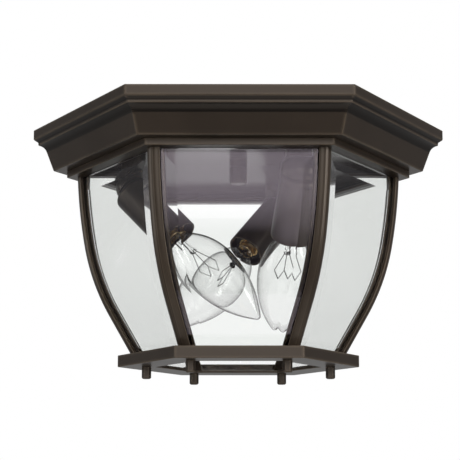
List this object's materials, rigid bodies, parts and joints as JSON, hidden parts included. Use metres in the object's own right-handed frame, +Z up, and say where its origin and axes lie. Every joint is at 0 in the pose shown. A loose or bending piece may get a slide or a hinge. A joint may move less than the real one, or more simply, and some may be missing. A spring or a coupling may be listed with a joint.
{
  "type": "outdoor ceiling light",
  "caption": "Close-to-ceiling lantern: moulded hexagonal crown, curved ribs holding bent bevelled clear panes, open bottom ring, and tilted candle sockets with torpedo bulbs inside.",
  "frame": {"origin": "centre of the outlet box slots, on the ceiling plane at the top of the rim", "axes": "+Z up into the ceiling, +X through two opposite corners of the hexagon and along the strap"},
  "size_m": [0.292, 0.2528, 0.177],
  "materials": {
    "bronze_paint": "oil-rubbed bronze paint, satin, worn lighter along edges",
    "plate_paint": "bronze paint, glossy, on sheet steel",
    "pane_glass": "clear, polished, with a ground and polished bevel",
    "zinc_steel": "zinc plated",
    "green_screw": "green plated earth screw",
    "socket_moulding": "moulded heat-proof insulator, matt",
    "shell_brass": "drawn sheet, bright",
    "bulb_glass": "thin clear blown glass",
    "base_brass": "rolled screw base, slightly dulled",
    "base_insulator": "black vitreous insulator",
    "solder": "solder tip, dull",
    "filament_metal": "lead wires and filament, dull grey"
  },
  "bodies": {
    "root": {"canopy_pan": "bronze_paint", "cage_ring": "bronze_paint", "bottom_ring": "bronze_paint", "cap_nuts": "bronze_paint", "centre_cap_nut": "bronze_paint", "rib_1": "bronze_paint", "rib_2": "bronze_paint", "rib_3": "bronze_paint", "rib_4": "bronze_paint", "rib_5": "bronze_paint", "rib_6": "bronze_paint", "socket_elbow_1": "bronze_paint", "socket_elbow_2": "bronze_paint", "socket_elbow_3": "bronze_paint", "socket_sleeve_1": "bronze_paint", "socket_sleeve_2": "bronze_paint", "socket_sleeve_3": "bronze_paint", "socket_plate": "plate_paint", "glass_panel_1": "pane_glass", "glass_panel_2": "pane_glass", "glass_panel_3": "pane_glass", "glass_panel_4": "pane_glass", "glass_panel_5": "pane_glass", "glass_panel_6": "pane_glass", "mounting_strap": "zinc_steel", "centre_nipple": "zinc_steel", "locknuts": "zinc_steel", "elbow_nipples": "zinc_steel", "sleeve_nipples": "zinc_steel", "rib_screws": "zinc_steel", "rib_studs": "zinc_steel", "ground_screw": "green_screw", "socket_body_1": "socket_moulding", "socket_body_2": "socket_moulding", "socket_body_3": "socket_moulding", "screw_shell_1": "shell_brass", "screw_shell_2": "shell_brass", "screw_shell_3": "shell_brass", "centre_contact_1": "shell_brass", "centre_contact_2": "shell_brass", "centre_contact_3": "shell_brass"},
    "bulb_tip_1": {"bulb_contact_1": "solder"},
    "bulb_1": {"bulb_glass_1": "bulb_glass", "bulb_base_1": "base_brass", "bulb_insulator_1": "base_insulator", "bulb_stem_1": "bulb_glass", "bulb_filament_1": "filament_metal"},
    "bulb_tip_2": {"bulb_contact_2": "solder"},
    "bulb_2": {"bulb_glass_2": "bulb_glass", "bulb_base_2": "base_brass", "bulb_insulator_2": "base_insulator", "bulb_stem_2": "bulb_glass", "bulb_filament_2": "filament_metal"},
    "bulb_tip_3": {"bulb_contact_3": "solder"},
    "bulb_3": {"bulb_glass_3": "bulb_glass", "bulb_base_3": "base_brass", "bulb_insulator_3": "base_insulator", "bulb_stem_3": "bulb_glass", "bulb_filament_3": "filament_metal"}
  },
  "joints": [
    {"name": "bulb_1_draw", "type": "slide", "parent": "root", "child": "bulb_tip_1", "axis": [0.6619, -0.2488, -0.7071], "range_m": [0, 0.01143]},
    {"name": "bulb_1_turn", "type": "hinge", "parent": "bulb_tip_1", "child": "bulb_1", "pos_m": [-0.07043, -0.00616, -0.0486], "axis": [0.6619, -0.2488, -0.7071], "range_deg": [0, 1621]},
    {"name": "bulb_2_draw", "type": "slide", "parent": "root", "child": "bulb_tip_2", "axis": [-0.1155, 0.6976, -0.7071], "range_m": [0, 0.01143]},
    {"name": "bulb_2_turn", "type": "hinge", "parent": "bulb_tip_2", "child": "bulb_2", "pos_m": [0.04055, -0.05791, -0.0486], "axis": [-0.1155, 0.6976, -0.7071], "range_deg": [0, 1621]},
    {"name": "bulb_3_draw", "type": "slide", "parent": "root", "child": "bulb_tip_3", "axis": [-0.5464, -0.4488, -0.7071], "range_m": [0, 0.01143]},
    {"name": "bulb_3_turn", "type": "hinge", "parent": "bulb_tip_3", "child": "bulb_3", "pos_m": [0.02988, 0.06408, -0.0486], "axis": [-0.5464, -0.4488, -0.7071], "range_deg": [0, 1621]}
  ],
  "couplings": [
    {"joint": "bulb_1_turn", "follows": "bulb_1_draw", "rad_per_m": 2473.7},
    {"joint": "bulb_2_turn", "follows": "bulb_2_draw", "rad_per_m": 2473.7},
    {"joint": "bulb_3_turn", "follows": "bulb_3_draw", "rad_per_m": 2473.7}
  ]
}
